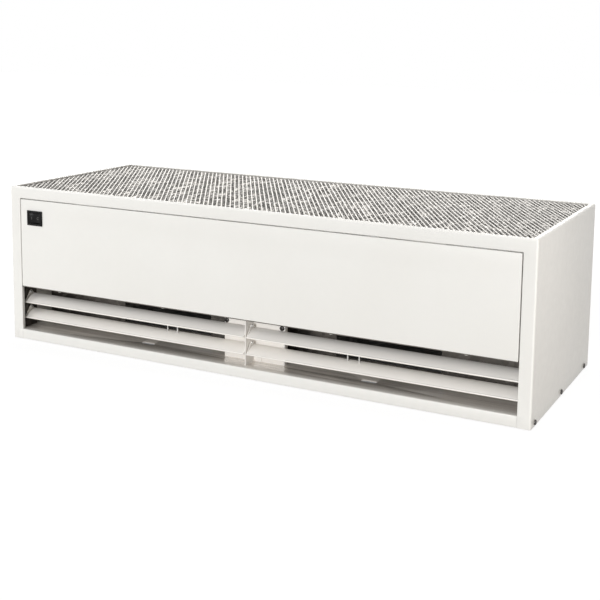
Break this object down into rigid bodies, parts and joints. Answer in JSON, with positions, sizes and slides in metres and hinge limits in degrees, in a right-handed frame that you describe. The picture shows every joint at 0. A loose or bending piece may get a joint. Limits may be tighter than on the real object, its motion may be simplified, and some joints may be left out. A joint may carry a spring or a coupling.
{
  "type": "air curtain",
  "caption": "Low-profile air curtain lying on its wall face: slot nozzle with linked vanes, inset access panel with rocker switch, lift-out mesh intake filter.",
  "frame": {"origin": "middle of the wall face, at the height of the wall", "axes": "+X along the discharge slot, -Y out of the discharge face, +Z from the wall face to the intake"},
  "size_m": [0.9188, 0.3462, 0.266],
  "materials": {
    "white_coat": "off-white powder coat, fine texture",
    "vane_coat": "off-white coat on the discharge vanes",
    "galvanised": "galvanised sheet, faint spangle",
    "zinc_screw": "zinc plated",
    "dark_screw": "black oxide screws",
    "rivet": "bright rivet",
    "wire": "plated spring wire",
    "switch_black": "black moulding",
    "brass_tab": "tinned brass tabs",
    "filter_alu": "expanded aluminium, mill finish",
    "filter_pad": "crumpled aluminium mesh layers",
    "motor_paint": "semi-gloss motor enamel",
    "core_steel": "laminated core",
    "copper": "varnished copper windings",
    "shaft_steel": "ground shaft",
    "bronze": "sintered bronze",
    "rubber": "black rubber",
    "wheel_alu": "aluminium blower wheel",
    "cap_can": "drawn capacitor can",
    "nylon": "terminal block",
    "lead": "insulated leads"
  },
  "bodies": {
    "cabinet": {"left_end_panel": "white_coat", "right_end_panel": "white_coat", "rear_panel": "white_coat", "front_header": "white_coat", "wall_pan": "white_coat", "pan_channel": "galvanised", "access_panel": "white_coat", "nozzle_shroud": "galvanised", "centre_baffle": "white_coat", "vane_divider": "white_coat", "left_vane_bracket": "galvanised", "right_vane_bracket": "galvanised", "front_filter_rail": "galvanised", "rear_filter_rail": "galvanised", "case_screws": "dark_screw", "baffle_screws": "dark_screw", "inner_screws": "zinc_screw", "vane_pivots": "rivet", "switch_housing": "switch_black", "switch_terminals": "brass_tab", "motor_can": "motor_paint", "left_end_bell": "galvanised", "right_end_bell": "galvanised", "motor_stator": "core_steel", "motor_windings": "copper", "shaft_bearings": "bronze", "mount_rings": "rubber", "motor_cradle": "galvanised", "cradle_clamps": "galvanised", "motor_bolts": "zinc_screw", "left_scroll": "galvanised", "left_inner_side_plate": "galvanised", "left_outer_side_plate": "galvanised", "right_scroll": "galvanised", "right_inner_side_plate": "galvanised", "right_outer_side_plate": "galvanised", "capacitor": "cap_can", "capacitor_strap": "galvanised", "terminal_box": "galvanised", "terminal_box_cover": "galvanised", "terminal_block": "nylon", "supply_grommet": "rubber", "switch_wires": "lead", "motor_wires": "lead"},
    "left_upper_vane": {"left_upper_vane": "vane_coat"},
    "left_lower_vane": {"left_lower_vane": "vane_coat"},
    "right_upper_vane": {"right_upper_vane": "vane_coat"},
    "right_lower_vane": {"right_lower_vane": "vane_coat"},
    "left_link": {"left_vane_link": "wire"},
    "right_link": {"right_vane_link": "wire"},
    "rocker": {"switch_rocker": "switch_black"},
    "filter": {"filter_frame": "filter_alu", "filter_mesh": "filter_alu", "filter_pad": "filter_pad"},
    "rotor": {"motor_rotor_core": "core_steel", "motor_shaft": "shaft_steel", "left_blower_wheel": "wheel_alu", "left_wheel_hub": "shaft_steel", "right_blower_wheel": "wheel_alu", "right_wheel_hub": "shaft_steel"}
  },
  "joints": [
    {"name": "left_upper_vane_tilt", "type": "hinge", "parent": "cabinet", "child": "left_upper_vane", "pos_m": [-0.229, -0.1426, 0.0774], "axis": [1, 0, 0], "range_deg": [-15, 15]},
    {"name": "left_lower_vane_tilt", "type": "hinge", "parent": "cabinet", "child": "left_lower_vane", "pos_m": [-0.229, -0.1426, 0.0503], "axis": [1, 0, 0], "range_deg": [-15, 15]},
    {"name": "left_link_turn", "type": "hinge", "parent": "left_upper_vane", "child": "left_link", "pos_m": [-0.147, -0.14, 0.0619], "axis": [1, 0, 0], "range_deg": [-15, 15]},
    {"name": "right_upper_vane_tilt", "type": "hinge", "parent": "cabinet", "child": "right_upper_vane", "pos_m": [0.229, -0.1426, 0.0774], "axis": [1, 0, 0], "range_deg": [-15, 15]},
    {"name": "right_lower_vane_tilt", "type": "hinge", "parent": "cabinet", "child": "right_lower_vane", "pos_m": [0.229, -0.1426, 0.0503], "axis": [1, 0, 0], "range_deg": [-15, 15]},
    {"name": "right_link_turn", "type": "hinge", "parent": "right_upper_vane", "child": "right_link", "pos_m": [0.177, -0.14, 0.0619], "axis": [1, 0, 0], "range_deg": [-15, 15]},
    {"name": "rocker_tilt", "type": "hinge", "parent": "cabinet", "child": "rocker", "pos_m": [-0.4047, -0.166, 0.2142], "axis": [0, 0, 1], "range_deg": [-16, 0]},
    {"name": "filter_lift", "type": "slide", "parent": "cabinet", "child": "filter", "axis": [0, 0, 1], "range_m": [0, 0.12]},
    {"name": "rotor_spin", "type": "hinge", "parent": "cabinet", "child": "rotor", "pos_m": [0, 0.035, 0.134], "axis": [1, 0, 0], "continuous": true}
  ],
  "couplings": [
    {"joint": "left_lower_vane_tilt", "follows": "left_upper_vane_tilt", "ratio": 1},
    {"joint": "left_link_turn", "follows": "left_upper_vane_tilt", "ratio": -1},
    {"joint": "right_lower_vane_tilt", "follows": "right_upper_vane_tilt", "ratio": 1},
    {"joint": "right_link_turn", "follows": "right_upper_vane_tilt", "ratio": -1}
  ]
}
